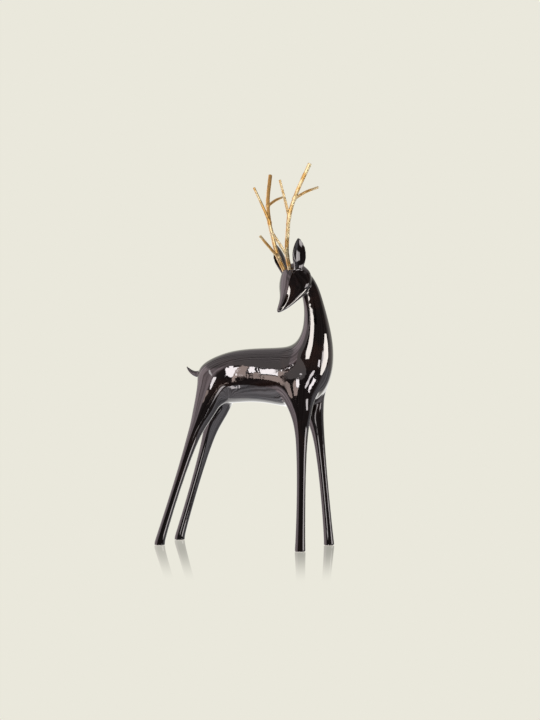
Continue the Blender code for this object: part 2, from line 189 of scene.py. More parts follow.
# Ear sections from the root in the skull to the tip, in the head's axes
EarSection = namedtuple("EarSection", "forward outward up half_width half_thickness")
EAR = (
    EarSection(17.8, 7.0, 2.5, 4.2, 2.6),
    EarSection(18.4, 12.0, 10.5, 5.3, 2.7),
    EarSection(19.2, 15.3, 17.7, 7.6, 2.3),
    EarSection(19.8, 16.8, 23.6, 8.4, 1.8),
    EarSection(20.8, 18.1, 30.2, 6.9, 1.5),
    EarSection(21.6, 19.0, 35.7, 3.8, 1.3),
    EarSection(22.3, 19.6, 39.2, 0.8, 0.7),
)
EAR_FACING = math.radians(84)
EAR_CUP = 0.42
# The power that squares an ear's rims: 1 is an ellipse, and less is squarer
EAR_RIM = 0.7

# The tail in the middle plane: x, z and radius
TAIL = (
    (-38, 178, 4.6),
    (-45, 176.5, 4.6),
    (-50, 176.0, 3.4),
    (-54.5, 177.2, 2.6),
    (-58.6, 180.0, 1.8),
    (-61.4, 183.2, 0.9),
    (-62.2, 184.6, 0.4),
)

# Antlers in the head's axes: forward, outward from the middle of the head, up, and the share of
# the rod's full diameter
BEAM_DIAMETER = 4.3
TINE_DIAMETER = 2.9
SOCKET_DEPTH = 5.7
ANTLER_MOUTH = (25, 5.1, 13)
BEAM = (
    (3.6, 2.4, 11.5, 1.0),
    (5.0, 7.4, 33.4, 0.95),
    (4.8, 11.2, 48.6, 0.95),
    (0.2, 17.6, 68.5, 0.92),
    (-12.8, 27.1, 99.7, 0.92),
)
FRONT_TINE = ((4.8, 10.8, 47, 1.05), (9.6, 12.7, 61, 0.95), (18.1, 16.1, 83.1, 0.82))
BACK_TINE = ((1.4, 16.5, 65.0, 1.0), (-11.3, 20.0, 72.2, 1.0), (-24.7, 23.7, 77.2, 0.85))
LOW_TINE = ((3.0, 1.7, 9.5, 1.0), (11.5, 3.2, 19.0, 1.0), (22.8, 5.0, 31.7, 0.95))
# A cast nodule sits at each fork: its radius
NODULES = ((FRONT_TINE[0], 2.2), (BACK_TINE[0], 2.3), (LOW_TINE[0], 2.3))
ANTLER_GRID = 0.32
ANTLER_FILLET = 1.1
ROD_SIDES = 8
ROD_STEPS = 24
# How near a rod's points are joined where its ends meet its side, and how fine a nodule is
ROD_WELD = 0.01
NODULE_LEVELS = 4
# How far the cast surface of a rod rises and falls, and over what length
CAST_DEPTH = 0.09
CAST_LENGTH = 4.5

# Soft-edged patches of a finish: their size in metres, how high the field has to be for one, and
# how soft its edge is
Patches = namedtuple("Patches", "size level softness")
# A surface worked by hand: the size of its ripples and of its grain in metres, the grain's share of
# the relief, and the whole relief's height in metres
HandWork = namedtuple("HandWork", "ripple_size grain_size grain_share relief")

# Glaze: its colours, its gloss, where it fired thin and hazy, and its pour
GLAZE_BLACK = (0.0014, 0.0010, 0.0011)
GLAZE_BROWN = (0.0075, 0.0036, 0.0028)
GLAZE_TINT = (1.0, 0.95, 0.97)
GLAZE_IOR = 1.86
GLAZE_ROUGHNESS = 0.03
GLAZE_HAZE_ROUGHNESS = 0.09
GLAZE_THIN = Patches(0.028, 0.56, 0.10)
GLAZE_HAZE = Patches(0.006, 0.58, 0.08)
GLAZE_POUR = HandWork(0.0065, 0.0017, 0.08, 0.00007)
# The soles are bare below this height, in metres
SOLE_LINE = 0.0005
BARE_STONEWARE = (0.42, 0.36, 0.29)
BARE_ROUGHNESS = 0.8
# Gold finish: its colours, its gloss, where it is thick and grazed, and the cast metal under it
GOLD_PALE = (0.82, 0.68, 0.42)
GOLD_AMBER = (0.66, 0.39, 0.13)
GOLD_BROWN = (0.42, 0.27, 0.11)
GOLD_ROUGHNESS = 0.34
GOLD_WORN_ROUGHNESS = 0.45
GOLD_THICK = Patches(0.011, 0.52, 0.12)
GOLD_GRAZED = Patches(0.005, 0.62, 0.14)
GOLD_CAST = HandWork(0.0035, 0.0009, 0.1, 0.00002)
# The finish is amber all over the top of the left beam: between these distances rightward from the
# frame's origin and above this height, in metres, with this soft edge
AMBER_NEAR = 0.0205
AMBER_FAR = 0.036
AMBER_FOOT = 0.326
AMBER_EDGE = 0.002

# Camera: level, at this angle from the left of the tail, this far away, aside and up
VIEW_ANGLE = math.radians(22)
CAMERA_DISTANCE = 1700
CAMERA_ASIDE = 29.4
CAMERA_HEIGHT = 191
CAMERA_LENS = 82.5
# The picture's size in pixels, the sensor's longer side, and how many parts a pixel spans at the
# figure
PICTURE_SIZE = (540, 720)
SENSOR_LENGTH = 36
PARTS_PER_PIXEL = CAMERA_DISTANCE * SENSOR_LENGTH / (CAMERA_LENS * PICTURE_SIZE[1])

# The stage's axes, from the camera's view: rightward, backward to the camera, and upward
RIGHTWARD = Vector((math.cos(VIEW_ANGLE), math.sin(VIEW_ANGLE), 0))
BACKWARD = Vector((math.sin(VIEW_ANGLE), -math.cos(VIEW_ANGLE), 0))
UPWARD = Vector((0, 0, 1))
CAMERA_PLACE = RIGHTWARD * CAMERA_ASIDE + BACKWARD * CAMERA_DISTANCE + UPWARD * CAMERA_HEIGHT

FIGURE = Matrix.Translation(-Vector(ORIGIN) * PART)
HEAD_ROTATION = Euler((HEAD_TILT, 0, HEAD_TURN)).to_matrix().to_4x4()
HEAD_PLACE = FIGURE @ Matrix.Translation(Vector(HEAD_PIVOT) * PART) @ HEAD_ROTATION


# Cages

def limit_scale(sides):
    """How much a control ring grows so that its subdivision surface has the stated size."""
    return 3 / (2 + math.cos(2 * math.pi / sides))


def add_ring(bm, points):
    return [bm.verts.new(point * PART) for point in points]


def join_rings(bm, first, second):
    for k in range(len(first)):
        n = (k + 1) % len(first)
        bm.faces.new((first[k], first[n], second[n], second[k]))


def grid_cap(bm, ring, bulge):
    """Closes a ring of 8, 16 or 24 points with a net of quads that stands out by bulge."""
    side = len(ring) // 4
    turn = side // 2
    loop = [ring[(k + turn) % len(ring)] for k in range(len(ring))]
    net = [[None] * (side + 1) for _ in range(side + 1)]
    for k in range(side + 1):
        net[0][k] = loop[k]
        net[k][side] = loop[side + k]
        net[side][side - k] = loop[2 * side + k]
        net[side - k][0] = loop[(3 * side + k) % len(ring)]
    for a in range(1, side):
        for b in range(1, side):
            s, t = a / side, b / side
            across = net[a][0].co.lerp(net[a][side].co, t) + net[0][b].co.lerp(net[side][b].co, s)
            first = net[0][0].co.lerp(net[0][side].co, t)
            last = net[side][0].co.lerp(net[side][side].co, t)
            stand = 4 * s * (1 - s) * 4 * t * (1 - t)
            net[a][b] = bm.verts.new(across - first.lerp(last, s) + bulge * stand)
    for a in range(side):
        for b in range(side):
            bm.faces.new((net[a][b], net[a][b + 1], net[a + 1][b + 1], net[a + 1][b]))


def evaluated_mesh(obj):
    """The object's mesh with its modifiers applied. The object itself is removed."""
    bpy.context.view_layer.update()
    graph = bpy.context.evaluated_depsgraph_get()
    mesh = bpy.data.meshes.new_from_object(obj.evaluated_get(graph))
    bpy.data.objects.remove(obj)
    return mesh


def finish_form(bm, place):
    """The cage's fine subdivision surface, as a mesh in the frame's own space."""
    bmesh.ops.recalc_face_normals(bm, faces=bm.faces)
    mesh = bpy.data.meshes.new("form")
    bm.to_mesh(mesh)
    bm.free()
    obj = bpy.data.objects.new("form", mesh)
    bpy.context.scene.collection.objects.link(obj)
    subdivision = obj.modifiers.new("Subdivision", "SUBSURF")
    subdivision.levels = subdivision.render_levels = FORM_LEVELS
    form = evaluated_mesh(obj)
    form.transform(place)
    return form


def trunk_ring_points(ring):
    """The ring's points, from the dorsal one round by the left side."""
    dorsal = Vector((ring.dorsal[0], ring.sway, ring.dorsal[1]))
    ventral = Vector((ring.ventral[0], ring.sway, ring.ventral[1]))
    centre = (dorsal + ventral) / 2
    grow = limit_scale(TRUNK_SIDES)
    upward = (dorsal - ventral) / 2 * grow
    leftward = Vector((0, ring.half_width * grow, 0))
    angles = [2 * math.pi * k / TRUNK_SIDES for k in range(TRUNK_SIDES)]
    return [centre + upward * math.cos(angle) + leftward * math.sin(angle) for angle in angles]


def leg_opening(leg):
    """The trunk faces that a leg grows from, and the ring points round them, from the outer middle
    one by the rear, as (ring, point) pairs."""
    first, middle, last = leg.first_ring, leg.first_ring + 1, leg.first_ring + 2
    points = range(LEG_OUTER_POINT, LEG_INNER_POINT + 1)
    faces = [(ring, point) for ring in (first, middle) for point in points[:-1]]
    loop = [(middle, points[0])]
    loop += [(first, point) for point in points]
    loop += [(middle, points[-1])]
    loop += [(last, point) for point in reversed(points)]
    if leg.side < 0:
        faces = [(ring, TRUNK_SIDES - 1 - point) for ring, point in faces]
        loop = [(ring, TRUNK_SIDES - point) for ring, point in loop]
    return faces, loop


def leg_ring_points(leg, section):
    """A level ring of the leg, from its outer point round by the rear."""
    hip_height = leg.sections[0].height
    drop = (1 - section.height / hip_height) ** leg.onset
    x = section.x + leg.forward * drop
    y = leg.side * (section.side + leg.outward * drop)
    grow = limit_scale(LEG_SIDES)
    points = []
    for k in range(LEG_SIDES):
        angle = 2 * math.pi * k / LEG_SIDES
        rear = math.sin(angle) * section.half_length * grow
        out = math.cos(angle) * section.half_width * grow
        points.append(Vector((x - rear, y + leg.side * out, section.height)))
    return points


def grow_leg(bm, trunk_rings, leg):
    _, loop = leg_opening(leg)
    ring = [trunk_rings[i][k] for i, k in loop]
    for section in leg.sections:
        lower = add_ring(bm, leg_ring_points(leg, section))
        join_rings(bm, ring, lower)
        ring = lower
    ankle = leg.sections[-1]
    for height, share in ((SOLE_EDGE, 1), (0, 1), (0, SOLE_INSET)):
        half_length, half_width = ankle.half_length * share, ankle.half_width * share
        section = ankle._replace(height=height, half_length=half_length, half_width=half_width)
        lower = add_ring(bm, leg_ring_points(leg, section))
        join_rings(bm, ring, lower)
        ring = lower
    bm.faces.new(ring)


def body_form():
    bm = bmesh.new()
    rings = [add_ring(bm, trunk_ring_points(ring)) for ring in TRUNK]
    open_faces = {face for leg in LEGS for face in leg_opening(leg)[0]}
    for i in range(len(rings) - 1):
        for k in range(TRUNK_SIDES):
            n = (k + 1) % TRUNK_SIDES
            if (i, k) not in open_faces:
                bm.faces.new((rings[i][k], rings[i][n], rings[i + 1][n], rings[i + 1][k]))
    grid_cap(bm, rings[0], Vector((-RUMP_BULGE * PART, 0, 0)))
    grid_cap(bm, rings[-1], Vector((0, 0, 0)))
    for leg in LEGS:
        grow_leg(bm, rings, leg)
    return finish_form(bm, FIGURE)


def squared(value, power):
    return math.copysign(abs(value) ** power, value)


def head_form():
    along = Vector((math.cos(SKULL_PITCH), 0, -math.sin(SKULL_PITCH)))
    faceward = Vector((math.sin(SKULL_PITCH), 0, math.cos(SKULL_PITCH)))
    leftward = Vector((0, 1, 0))
    grow = limit_scale(HEAD_SIDES)
    bm = bmesh.new()
    rings = []
    for section in HEAD:
        centre = Vector(SKULL_START) + along * section.along
        face_bend = (section.brow[0] * FACE_BEND, 1 - (1 - section.brow[1]) * FACE_BEND ** 2)
        half = [(0, 1), face_bend, section.brow, section.bevel, *CHEEK, JAW_BEND, (0, -1)]
        profile = half + [(-wide, deep) for wide, deep in reversed(half[1:-1])]
        points = []
        for wide, deep in profile:
            depth = section.face_depth if deep > 0 else section.jaw_depth
            spoke = faceward * deep * depth + leftward * wide * section.half_width
            points.append(centre + spoke * grow)
        rings.append(add_ring(bm, points))
    for first, second in zip(rings, rings[1:]):
        join_rings(bm, first, second)
    crease = bm.edges.layers.float.new("crease_edge")
    for brow in (2, HEAD_SIDES - 2):
        for first, second, section in zip(rings, rings[1:], HEAD):
            bm.edges.get((first[brow], second[brow]))[crease] = section.crispness
    grid_cap(bm, rings[0], along * -CROWN_BULGE * PART)
    grid_cap(bm, rings[-1], along * MUZZLE_BULGE * PART)
    middle = Matrix.Translation((SKULL_MIDDLE * PART, 0, 0))
    turned = Matrix.Rotation(SKULL_TURN, 4, "Z") @ Matrix.Diagonal((*SKULL_STRETCH, 1))
    bmesh.ops.transform(bm, matrix=middle @ turned @ middle.inverted(), verts=bm.verts)
    return finish_form(bm, HEAD_PLACE)


def tangents(centres):
    """The direction of the path at each of its points."""
    before = [centres[0], *centres[:-1]]
    after = [*centres[1:], centres[-1]]
    return [(end - start).normalized() for start, end in zip(before, after)]


def ear_form(side):
    """A cupped leaf: its sections bow back between two rims."""
    facing = Vector((-math.sin(EAR_FACING), math.cos(EAR_FACING), 0))
    centres = [Vector((section.forward, section.outward, section.up)) for section in EAR]
    grow = limit_scale(EAR_SIDES)
    bm = bmesh.new()
    rings = []
    for section, centre, tangent in zip(EAR, centres, tangents(centres)):
        wide = (facing - tangent * facing.dot(tangent)).normalized()
        outward = wide.cross(tangent)
        cup = EAR_CUP * section.half_width
        points = []
        for k in range(EAR_SIDES):
            angle = 2 * math.pi * k / EAR_SIDES
            across = section.half_width * math.cos(angle)
            out = section.half_thickness * squared(math.sin(angle), EAR_RIM)
            out -= cup * math.sin(angle) ** 2
            point = centre + (wide * across + outward * out) * grow
            points.append(Vector((point.x, point.y * side, point.z)))
        rings.append(add_ring(bm, points))
    for first, second in zip(rings, rings[1:]):
        join_rings(bm, first, second)
    bm.faces.new(rings[0])
    bm.faces.new(rings[-1])
    return finish_form(bm, HEAD_PLACE)


def tail_form():
    bm = bmesh.new()
    grow = limit_scale(TAIL_SIDES)
    centres = [Vector((x, 0, z)) for x, z, _ in TAIL]
    across = Vector((0, 1, 0))
    rings = []
    for centre, tangent, (_, _, radius) in zip(centres, tangents(centres), TAIL):
        up = tangent.cross(across)
        angles = [2 * math.pi * k / TAIL_SIDES for k in range(TAIL_SIDES)]
        spokes = [up * math.cos(angle) + across * math.sin(angle) for angle in angles]
        rings.append(add_ring(bm, [centre + spoke * radius * grow for spoke in spokes]))
    for first, second in zip(rings, rings[1:]):
        join_rings(bm, first, second)
    grid_cap(bm, rings[0], Vector((0, 0, 0)))
    grid_cap(bm, rings[-1], Vector((0, 0, 0)))
    return finish_form(bm, FIGURE)


# Fusing the forms into one skin

def fused_mesh(name, meshes, grid):
    """One closed skin round all the meshes, on an even grid."""
    bm = bmesh.new()
    for mesh in meshes:
        bm.from_mesh(mesh)
    joined = bpy.data.meshes.new(name)
    bm.to_mesh(joined)
    bm.free()
    obj = bpy.data.objects.new(name, joined)
    bpy.context.scene.collection.objects.link(obj)
    remesh = obj.modifiers.new("Skin", "REMESH")
    remesh.mode = "VOXEL"
    remesh.voxel_size = grid
    return evaluated_mesh(obj)


class Form:
    """A form's surface: how far a point stands outside it, and which way is out there. The fillet
    is the one where this form meets those before it."""

    def __init__(self, mesh, fillet=0):
        self.mesh = mesh
        self.fillet = fillet * PART
        self.places = [vertex.co.copy() for vertex in mesh.vertices]
        self.normals = [vertex.normal.copy() for vertex in mesh.vertices]
        self.polygons = [tuple(polygon.vertices) for polygon in mesh.polygons]
        self.tree = BVHTree.FromPolygons(self.places, self.polygons)
        self.low = Vector(min(place[i] for place in self.places) for i in range(3))
        self.high = Vector(max(place[i] for place in self.places) for i in range(3))

    def near(self, point, reach):
        return all(self.low[i] - reach < point[i] < self.high[i] + reach for i in range(3))

    def measure(self, point):
        place, flat, index, distance = self.tree.find_nearest(point)
        corners = self.polygons[index]
        shares = poly_3d_calc([self.places[corner] for corner in corners], place)
        outward = Vector((0, 0, 0))
        for share, corner in zip(shares, corners):
            outward += self.normals[corner] * share
        outward.normalize()
        return (distance if (point - place).dot(flat) > 0 else -distance), outward


def filleted(first, second, fillet):
    """Two (distance, outward) measures joined with a fillet where the two surfaces meet."""
    if second[0] < first[0]:
        first, second = second, first
    overlap = max(fillet - (second[0] - first[0]), 0) / fillet
    share = overlap ** 2 / 2
    return first[0] - overlap ** 3 * fillet / 6, (first[1].lerp(second[1], share)).normalized()


def skin_measure(forms, point):
    found = None
    for form in forms:
        if form.near(point, FORM_REACH * PART):
            measure = form.measure(point)
            found = measure if found is None else filleted(found, measure, form.fillet)
    return found


def halve_grid(mesh, forms):
    """Splits each face of the mesh near the forms into four."""
    bm = bmesh.new()
    bm.from_mesh(mesh)
    near = {vertex for vertex in bm.verts if any(form.near(vertex.co, FINE_REACH * PART) for form in forms)}
    edges = [edge for edge in bm.edges if near.issuperset(edge.verts)]
    bmesh.ops.subdivide_edges(bm, edges=edges, cuts=1, use_grid_fill=True)
    bm.to_mesh(mesh)
    bm.free()


def fitted_skin(name, forms, grid, finer=()):
    """One skin round the forms, laid exactly on them and on the fillets between them. It comes with
    its outward directions."""
    skin = fused_mesh(name, [form.mesh for form in forms], grid * PART)
    for fine_forms in finer:
        halve_grid(skin, fine_forms)
    directions = []
    for vertex in skin.vertices:
        point = vertex.co.copy()
        for _ in range(FITTING_PASSES):
            distance, outward = skin_measure(forms, point)
            point -= outward * distance
        if (point - vertex.co).length < grid * PART:
            vertex.co = point
        directions.append(skin_measure(forms, vertex.co)[1])
    skin.shade_smooth()
    return skin, directions


def finish_piece(name, skin, material, node):
    skin.materials.append(material)
    piece = bpy.data.objects.new(name, skin)
    bpy.context.scene.collection.objects.link(piece)
    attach(piece, "root")
    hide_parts(node)
    return piece


class Mirror:
    """The casting's skin as the camera sees it, which the light cards are laid out by."""

    def __init__(self, skin, directions):
        self.directions = directions
        self.places = [vertex.co.copy() for vertex in skin.vertices]
        self.polygons = [tuple(polygon.vertices) for polygon in skin.polygons]
        self.tree = BVHTree.FromPolygons(self.places, self.polygons)

    def reflect(self, across, down):
        """Where the camera's ray through this pixel of the picture meets the skin, and the way the
        mirrored ray goes on."""
        aside = CAMERA_ASIDE + (across - PICTURE_SIZE[0] / 2) * PARTS_PER_PIXEL
        up = CAMERA_HEIGHT - (down - PICTURE_SIZE[1] / 2) * PARTS_PER_PIXEL
        camera = FIGURE @ (CAMERA_PLACE * PART)
        sight = (FIGURE @ ((RIGHTWARD * aside + UPWARD * up) * PART) - camera).normalized()
        place, _, index, _ = self.tree.ray_cast(camera, sight)
        corners = self.polygons[index]
        shares = poly_3d_calc([self.places[corner] for corner in corners], place)
        outward = Vector((0, 0, 0))
        for share, corner in zip(shares, corners):
            outward += self.directions[corner] * share
        return place, sight.reflect(outward.normalized())


def make_casting(material):
    """The casting, and the mirror that it is to the camera."""
    body = Form(body_form())
    head = Form(head_form(), HEAD_FILLET)
    ears = [Form(ear_form(side), EAR_FILLET) for side in (1, -1)]
    tail = Form(tail_form(), TAIL_FILLET)
    forms = [body, head, *ears, tail]
    skin, directions = fitted_skin("glazed_casting", forms, SKIN_GRID, ([head, *ears], ears))
    skin.normals_split_custom_set_from_vertices(directions)
    casting = finish_piece("glazed_casting", skin, material, "deer")
    return casting, Mirror(skin, directions)


# Antlers

def antler_place(row, side):
    forward, outward, up = (mouth + step for mouth, step in zip(ANTLER_MOUTH, row[:3]))
    return Vector((forward, outward * side, up)) * PART


def rod_form(points, diameter):
    """A round rod with flat ends through the points, each with its share of the diameter."""
    curve = bpy.data.curves.new("rod", "CURVE")
    curve.dimensions = "3D"
    curve.bevel_depth = diameter * PART / 2
    curve.bevel_resolution = ROD_SIDES
    curve.resolution_u = ROD_STEPS
    curve.use_fill_caps = True
    spline = curve.splines.new("BEZIER")
    spline.bezier_points.add(len(points) - 1)
    for knot, (place, share) in zip(spline.bezier_points, points):
        knot.co = place
        knot.radius = share
        knot.handle_left_type = knot.handle_right_type = "AUTO"
    rod = bpy.data.objects.new("rod", curve)
    bpy.context.scene.collection.objects.link(rod)
    mesh = evaluated_mesh(rod)
    bm = bmesh.new()
    bm.from_mesh(mesh)
    bmesh.ops.remove_doubles(bm, verts=bm.verts, dist=ROD_WELD * PART)
    bmesh.ops.recalc_face_normals(bm, faces=bm.faces)
    bm.to_mesh(mesh)
    bm.free()
    mesh.transform(HEAD_PLACE)
    return mesh


def nodule_form(place, radius):
    bm = bmesh.new()
    bmesh.ops.create_icosphere(bm, subdivisions=NODULE_LEVELS, radius=radius * PART)
    mesh = bpy.data.meshes.new("nodule")
    bm.to_mesh(mesh)
    bm.free()
    mesh.transform(HEAD_PLACE @ Matrix.Translation(place))
    return mesh


def make_antler(name, side, material, node):
    mouth = antler_place((0, 0, 0), side)
    axis = (antler_place(BEAM[0], side) - mouth).normalized()
    beam = [(mouth - axis * SOCKET_DEPTH * PART, 1.0), (mouth, 1.0)]
    beam += [(antler_place(row, side), row[3]) for row in BEAM]
    forms = [Form(rod_form(beam, BEAM_DIAMETER))]
    for rows in (FRONT_TINE, BACK_TINE, LOW_TINE):
        tine = rod_form([(antler_place(row, side), row[3]) for row in rows], TINE_DIAMETER)
        forms.append(Form(tine, ANTLER_FILLET))
    for row, radius in NODULES:
        forms.append(Form(nodule_form(antler_place(row, side), radius), ANTLER_FILLET))
    skin, directions = fitted_skin(name, forms, ANTLER_GRID)
    for vertex, outward in zip(skin.vertices, directions):
        vertex.co += outward * noise.noise(vertex.co / (CAST_LENGTH * PART)) * CAST_DEPTH * PART
    return finish_piece(name, skin, material, node)


# Materials

class Shading:
    """The nodes of one material, effect or world, and how they are added and linked."""

    def __init__(self, tree):
        self.nodes = tree.nodes
        self.links = tree.links
        self.nodes.clear()

    def feed(self, socket, value):
        if isinstance(value, bpy.types.NodeSocket):
            self.links.new(value, socket)
        elif socket.type == "RGBA":
            socket.default_value = (*value, 1)
        else:
            socket.default_value = value

    def add(self, kind, inputs, output=None, **settings):
        """Adds a node with its settings and feeds its inputs. Gives back the output of that name."""
        node = self.nodes.new(kind)
        for name, value in settings.items():
            setattr(node, name, value)
        for name, value in inputs.items():
            self.feed(node.inputs[name], value)
        return node.outputs[output] if output else node

    def math(self, operation, first, second=0.0):
        return self.add("ShaderNodeMath", {0: first, 1: second}, "Value", operation=operation)

    def along(self, place, axis):
        return self.add("ShaderNodeVectorMath", {0: place, 1: axis}, "Value", operation="DOT_PRODUCT")

    def step_up(self, value, start, end, low=0.0, high=1.0):
        inputs = {"Value": value, "From Min": start, "From Max": end, "To Min": low, "To Max": high}
        return self.add("ShaderNodeMapRange", inputs, "Result", interpolation_type="SMOOTHSTEP")

    def mixed(self, share, first, second):
        node = self.add("ShaderNodeMix", {}, data_type="RGBA")
        self.feed(node.inputs["Factor"], share)
        colours = [socket for socket in node.inputs if socket.type == "RGBA"]
        for socket, value in zip(colours, (first, second)):
            self.feed(socket, value)
        return next(socket for socket in node.outputs if socket.type == "RGBA")

    def effect(self, tree, inputs, output):
        node = self.nodes.new("ShaderNodeGroup")
        node.node_tree = tree
        for name, value in inputs.items():
            self.feed(node.inputs[name], value)
        return node.outputs[output]

    def patches(self, effect, place, look):
        inputs = {"Place": place, "Size": look.size, "Level": look.level, "Softness": look.softness}
        return self.effect(effect, inputs, "Mask")

    def hand_work(self, effect, place, look):
        """The normal of a surface worked by hand."""
        inputs = {"Place": place, "Ripple Size": look.ripple_size, "Grain Size": look.grain_size}
        inputs["Grain Share"] = look.grain_share
        height = self.effect(effect, inputs, "Height")
        relief = {"Height": height, "Distance": look.relief, "Strength": 1.0}
        return self.add("ShaderNodeBump", relief, "Normal")


def new_effect(name, numbers, output):
    """An empty effect that is given a place and these numbers, and puts out one number."""
    tree = bpy.data.node_groups.new(name, "ShaderNodeTree")
    tree.interface.new_socket("Place", in_out="INPUT", socket_type="NodeSocketVector")
    for number in numbers:
        tree.interface.new_socket(number, in_out="INPUT", socket_type="NodeSocketFloat")
    tree.interface.new_socket(output, in_out="OUTPUT", socket_type="NodeSocketFloat")
    shading = Shading(tree)
    given = shading.nodes.new("NodeGroupInput").outputs
    result = shading.nodes.new("NodeGroupOutput").inputs
    return tree, shading, given, result


def make_patches_effect():
    """Soft-edged patches of a stated size, as the kiln's fire or a patina leaves them."""
    tree, shading, given, result = new_effect("patches", ("Size", "Level", "Softness"), "Mask")
    per_metre = shading.math("DIVIDE", 1.0, given["Size"])
    inputs = {"Vector": given["Place"], "Scale": per_metre, "Detail": 3.0}
    inputs.update({"Roughness": 0.55, "Distortion": 0.4})
    field = shading.add("ShaderNodeTexNoise", inputs, "Fac")
    low = shading.math("SUBTRACT", given["Level"], given["Softness"])
    high = shading.math("ADD", given["Level"], given["Softness"])
    shading.feed(result["Mask"], shading.step_up(field, low, high))
    return tree


def make_hand_work_effect():
    """The height of a surface worked by hand: long ripples with a fine grain on them."""
    numbers = ("Ripple Size", "Grain Size", "Grain Share")
    tree, shading, given, result = new_effect("hand_work", numbers, "Height")
    heights = []
    for size in ("Ripple Size", "Grain Size"):
        per_metre = shading.math("DIVIDE", 1.0, given[size])
        inputs = {"Vector": given["Place"], "Scale": per_metre, "Detail": 1.0, "Roughness": 0.4}
        heights.append(shading.add("ShaderNodeTexNoise", inputs, "Fac"))
    grain = shading.math("MULTIPLY", heights[1], given["Grain Share"])
    shading.feed(result["Height"], shading.math("ADD", heights[0], grain))
    return tree


def new_material(name):
    material = bpy.data.materials.new(name)
    material.use_nodes = True
    shading = Shading(material.node_tree)
    place = shading.add("ShaderNodeTexCoord", {}, "Object")
    return material, shading, place


def finish_material(shading, inputs):
    shader = shading.add("ShaderNodeBsdfPrincipled", inputs, "BSDF")
    shading.add("ShaderNodeOutputMaterial", {"Surface": shader})


def make_glaze(patches, hand_work):
    """A black lustre glaze: nearly black, browner where it fired thin, rippled by the pour, with
    faint orange peel. The soles are bare stoneware."""
    material, shading, place = new_material("black_glaze")
    thin = shading.patches(patches, place, GLAZE_THIN)
    haze = shading.patches(patches, place, GLAZE_HAZE)
    roughness = shading.step_up(haze, 0.0, 1.0, GLAZE_ROUGHNESS, GLAZE_HAZE_ROUGHNESS)
    height = shading.add("ShaderNodeSeparateXYZ", {"Vector": place}, "Z")
    bare = shading.step_up(height, SOLE_LINE, 0.0)
    bare_roughness = shading.math("MULTIPLY", bare, BARE_ROUGHNESS)
    finish_material(shading, {
        "Base Color": shading.mixed(bare, shading.mixed(thin, GLAZE_BLACK, GLAZE_BROWN), BARE_STONEWARE),
        "Roughness": shading.math("MAXIMUM", roughness, bare_roughness),
        "IOR": GLAZE_IOR,
        "Specular Tint": GLAZE_TINT,
        "Normal": shading.hand_work(hand_work, place, GLAZE_POUR),
    })
    return material


def make_gold(patches, hand_work):
    """Cast metal with a gold finish: pale gold, amber where the finish is thick and brown in its
    grazed patches."""
    material, shading, place = new_material("antler_gold")
    rightward = shading.along(place, RIGHTWARD)
    height = shading.add("ShaderNodeSeparateXYZ", {"Vector": place}, "Z")
    amber_edges = (
        shading.step_up(rightward, AMBER_NEAR, AMBER_NEAR + AMBER_EDGE),
        shading.step_up(rightward, AMBER_FAR, AMBER_FAR - AMBER_EDGE),
        shading.step_up(height, AMBER_FOOT, AMBER_FOOT + AMBER_EDGE),
    )
    beam_top = 1.0
    for edge in amber_edges:
        beam_top = shading.math("MULTIPLY", beam_top, edge)
    thick = shading.math("MAXIMUM", shading.patches(patches, place, GOLD_THICK), beam_top)
    grazed = shading.patches(patches, place, GOLD_GRAZED)
    finish_material(shading, {
        "Base Color": shading.mixed(grazed, shading.mixed(thick, GOLD_PALE, GOLD_AMBER), GOLD_BROWN),
        "Metallic": 1.0,
        "Roughness": shading.step_up(grazed, 0.0, 1.0, GOLD_ROUGHNESS, GOLD_WORN_ROUGHNESS),
        "Normal": shading.hand_work(hand_work, place, GOLD_CAST),
    })
    return material


# Stage

# Studio colours and how bright they are. The pale paper is all that the camera sees.
PAPER = (0.823, 0.807, 0.716)
CEILING = (0.62, 0.57, 0.57)
LEFT_WALL = (1.35, 1.16, 1.20)
RIGHT_WALL = (0.45, 0.42, 0.39)
TABLE = (0.86, 0.86, 0.90)
TABLE_BEHIND = (0.50, 0.50, 0.52)
BRIGHT_EDGE = (1.9, 1.9, 1.85)
WINDOW = (4.6, 4.5, 4.4)
DARK_ROOM = (0.085, 0.07, 0.068)

# The surroundings that the glaze mirrors, painted over the dark room in this order: where each
# starts and ends in azimuth (from the way to the camera towards its right) and in elevation, half
# the width of its soft edge, all in degrees, and its colour
Zone = namedtuple("Zone", "azimuths elevations softness colour")
ZONES = (
    Zone((-200, -60), (-95, 95), 4, LEFT_WALL),
    Zone((102, 200), (-95, 95), 6, RIGHT_WALL),
    Zone((-200, -138), (-30, 95), 12, PAPER),
    Zone((138, 200), (-30, 95), 12, PAPER),
    Zone((-200, 200), (36, 95), 3, CEILING),
    Zone((-200, 200), (-95, -33), 1.5, TABLE),
    Zone((80, 140), (-95, -8), 6, TABLE_BEHIND),
    Zone((-200, -150), (-95, -5), 8, BRIGHT_EDGE),
    Zone((150, 200), (-95, -5), 8, BRIGHT_EDGE),
    Zone((60, 88), (-8, 7), 1.5, WINDOW),
    Zone((40, 66), (-31, -21), 1.5, WINDOW),
    Zone((-30, -4), (-26, -15), 1.5, WINDOW),
)
# Streaks in the surroundings: how wide and how tall in degrees, the field's values where they are
# darkest and brightest, and their shares of the colour there
STREAK_WIDTH = 7
STREAK_HEIGHT = 70
STREAK_FIELD = (0.3, 0.7)
STREAK_SHARES = (0.35, 1.45)
# Azimuths between which the streaks give way to plain paper, in degrees
PLAIN_PAPER = (150, 172)

FLOOR_REACH = 9000

# The floor's polish: its index of refraction, and where it fades away, round a place between the
# hooves, in parts
FLOOR_IOR = 1.5
SHINE_CENTRE = RIGHTWARD * 40
SHINE_START = 50
SHINE_END = 290

